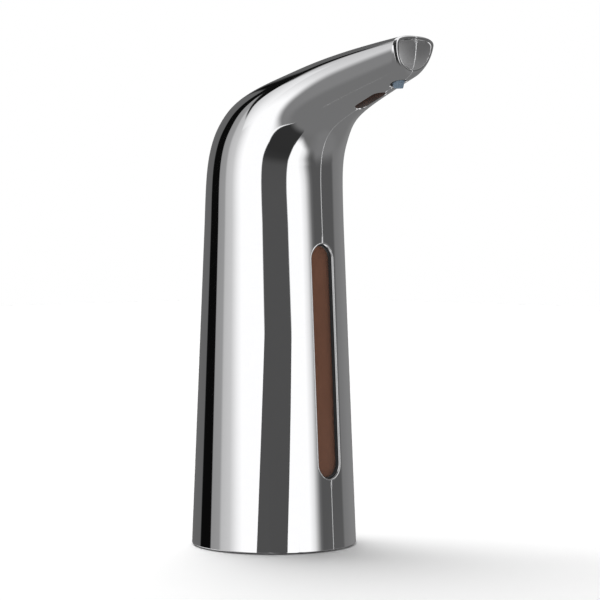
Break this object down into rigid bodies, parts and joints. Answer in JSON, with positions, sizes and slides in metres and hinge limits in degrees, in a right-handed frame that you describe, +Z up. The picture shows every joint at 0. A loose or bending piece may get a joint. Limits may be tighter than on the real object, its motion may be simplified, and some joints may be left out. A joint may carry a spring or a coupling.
{
  "type": "automatic soap dispenser",
  "caption": "Touch-free liquid soap dispenser: a round tapering column bends forward into a spout with a sensor lens, a nozzle and a tall level window.",
  "frame": {"origin": "middle of the bounding box seen from above, at the height of the surface that it stands on", "axes": "+X the way the spout points, +Z up, +Y to the left of the spout"},
  "size_m": [0.1396, 0.085, 0.2558],
  "materials": {
    "chrome": "mirror-smooth bright chrome",
    "smoked_plastic": "smoked brown, glossy",
    "sensor_black": "nearly black, glossy",
    "black_rubber": "matte black",
    "blue_grey_plastic": "satin blue-grey",
    "white_plastic": "matte white",
    "grey_plastic": "matte grey",
    "clear_plastic": "natural translucent",
    "silicone": "matte pale grey",
    "steel": "plain machined",
    "brass": "plain",
    "board_green": "satin green",
    "battery_jacket": "dark grey film",
    "red_insulation": "red",
    "lamp_clear": "clear"
  },
  "bodies": {
    "casing": {"left_shell": "chrome", "right_shell": "chrome", "spout_end_cap": "chrome", "level_window": "smoked_plastic", "sensor_window": "sensor_black", "ir_receiver": "sensor_black", "window_gasket": "black_rubber", "nozzle_collar": "black_rubber", "door_seal": "black_rubber", "foot_ring": "black_rubber", "battery_lead_black": "black_rubber", "motor_lead_black": "black_rubber", "nozzle": "blue_grey_plastic", "tank_lid": "white_plastic", "filler_neck": "white_plastic", "strainer": "white_plastic", "pump_housing": "grey_plastic", "pump_cover": "grey_plastic", "button_switch": "grey_plastic", "base_frame": "grey_plastic", "tank": "clear_plastic", "suction_tube": "clear_plastic", "check_valve": "silicone", "tank_gasket": "silicone", "pump_hose": "silicone", "lid_pin": "steel", "motor": "steel", "pump_screw_1": "steel", "pump_screw_2": "steel", "shell_screw_1": "steel", "shell_screw_2": "steel", "shell_screw_3": "steel", "shell_screw_4": "steel", "battery_spring_1": "steel", "battery_spring_2": "steel", "battery_spring_3": "steel", "battery_spring_4": "steel", "contact_plate_1": "brass", "contact_plate_2": "brass", "contact_plate_3": "brass", "contact_plate_4": "brass", "contact_plate_5": "brass", "main_board": "board_green", "battery_1": "battery_jacket", "battery_2": "battery_jacket", "battery_3": "battery_jacket", "battery_4": "battery_jacket", "battery_lead_red": "red_insulation", "motor_lead_red": "red_insulation", "indicator_light": "lamp_clear", "ir_emitter": "lamp_clear"},
    "fill_lid": {"fill_lid": "chrome", "fill_plug": "silicone"},
    "power_button": {"power_button": "chrome"},
    "battery_door": {"battery_door": "grey_plastic"},
    "pump_carrier": {"pump_carrier": "white_plastic"},
    "motor_shaft": {"motor_shaft": "steel"},
    "pump_roller_1": {"pump_roller_1": "silicone"},
    "pump_roller_2": {"pump_roller_2": "silicone"},
    "pump_roller_3": {"pump_roller_3": "silicone"}
  },
  "joints": [
    {"name": "lid_hinge", "type": "hinge", "parent": "casing", "child": "fill_lid", "pos_m": [-0.05287, 0, 0.20802], "axis": [0, -1, 0], "range_deg": [0, 90]},
    {"name": "button_press", "type": "slide", "parent": "casing", "child": "power_button", "axis": [0.266, 0, -0.964], "range_m": [0, 0.001], "stiffness_N_per_m": 250, "springref_m": -0.002},
    {"name": "door_hinge", "type": "hinge", "parent": "casing", "child": "battery_door", "pos_m": [-0.04935, 0, 0.0021], "axis": [0, 1, 0], "range_deg": [0, 90]},
    {"name": "carrier_spin", "type": "hinge", "parent": "casing", "child": "pump_carrier", "pos_m": [-0.01435, 0, 0.19], "axis": [0, 0, 1], "continuous": true},
    {"name": "shaft_spin", "type": "hinge", "parent": "casing", "child": "motor_shaft", "pos_m": [-0.01435, 0, 0.19], "axis": [0, 0, 1], "continuous": true},
    {"name": "roller_1_spin", "type": "hinge", "parent": "pump_carrier", "child": "pump_roller_1", "pos_m": [-0.00735, 0, 0.19], "axis": [0, 0, 1], "continuous": true},
    {"name": "roller_2_spin", "type": "hinge", "parent": "pump_carrier", "child": "pump_roller_2", "pos_m": [-0.01785, 0.00606, 0.19], "axis": [0, 0, 1], "continuous": true},
    {"name": "roller_3_spin", "type": "hinge", "parent": "pump_carrier", "child": "pump_roller_3", "pos_m": [-0.01785, -0.00606, 0.19], "axis": [0, 0, 1], "continuous": true}
  ],
  "couplings": [
    {"joint": "shaft_spin", "follows": "carrier_spin", "ratio": 7},
    {"joint": "roller_1_spin", "follows": "carrier_spin", "ratio": -2.4},
    {"joint": "roller_2_spin", "follows": "carrier_spin", "ratio": -2.4},
    {"joint": "roller_3_spin", "follows": "carrier_spin", "ratio": -2.4}
  ]
}
